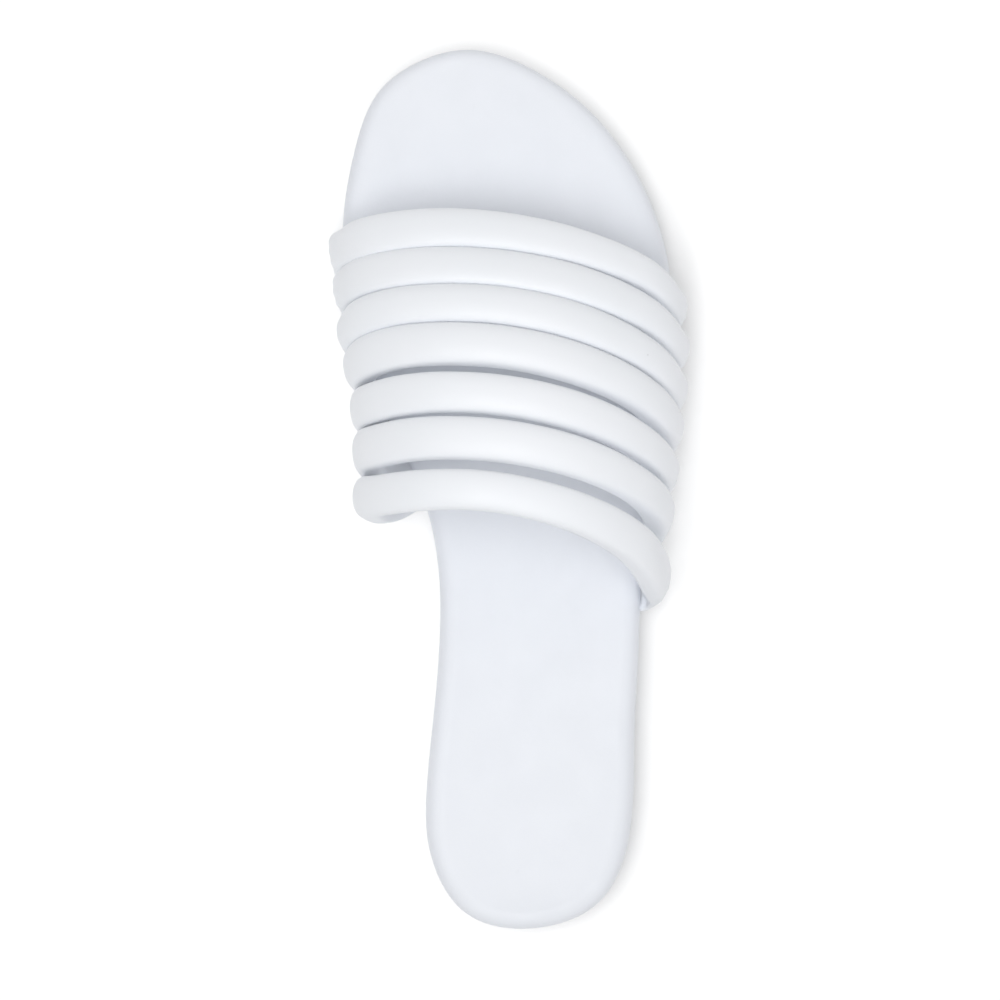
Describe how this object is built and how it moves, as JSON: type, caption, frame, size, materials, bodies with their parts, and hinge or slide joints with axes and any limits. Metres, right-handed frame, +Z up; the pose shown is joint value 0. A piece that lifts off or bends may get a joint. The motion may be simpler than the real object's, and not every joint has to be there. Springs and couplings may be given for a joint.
{
  "type": "slide sandal",
  "caption": "Women's flat slide sandal for the right foot: a padded footbed on a moulded sole with padded tube straps arched over the foot.",
  "frame": {"origin": "middle of the bounding box, on the floor the sandal stands on", "axes": "+Y from heel to toe, +X to the outer (little toe) side, +Z up"},
  "size_m": [0.1028, 0.256, 0.0764],
  "materials": {
    "outsole_rubber": "matt moulded",
    "footbed_leather": "smooth satin faux leather",
    "strap_leather": "smooth satin faux leather"
  },
  "bodies": {
    "root": {"outsole": "outsole_rubber", "footbed": "footbed_leather", "strap_1": "strap_leather", "strap_2": "strap_leather", "strap_3": "strap_leather", "strap_4": "strap_leather", "strap_5": "strap_leather", "strap_6": "strap_leather", "strap_7": "strap_leather"}
  },
  "joints": []
}
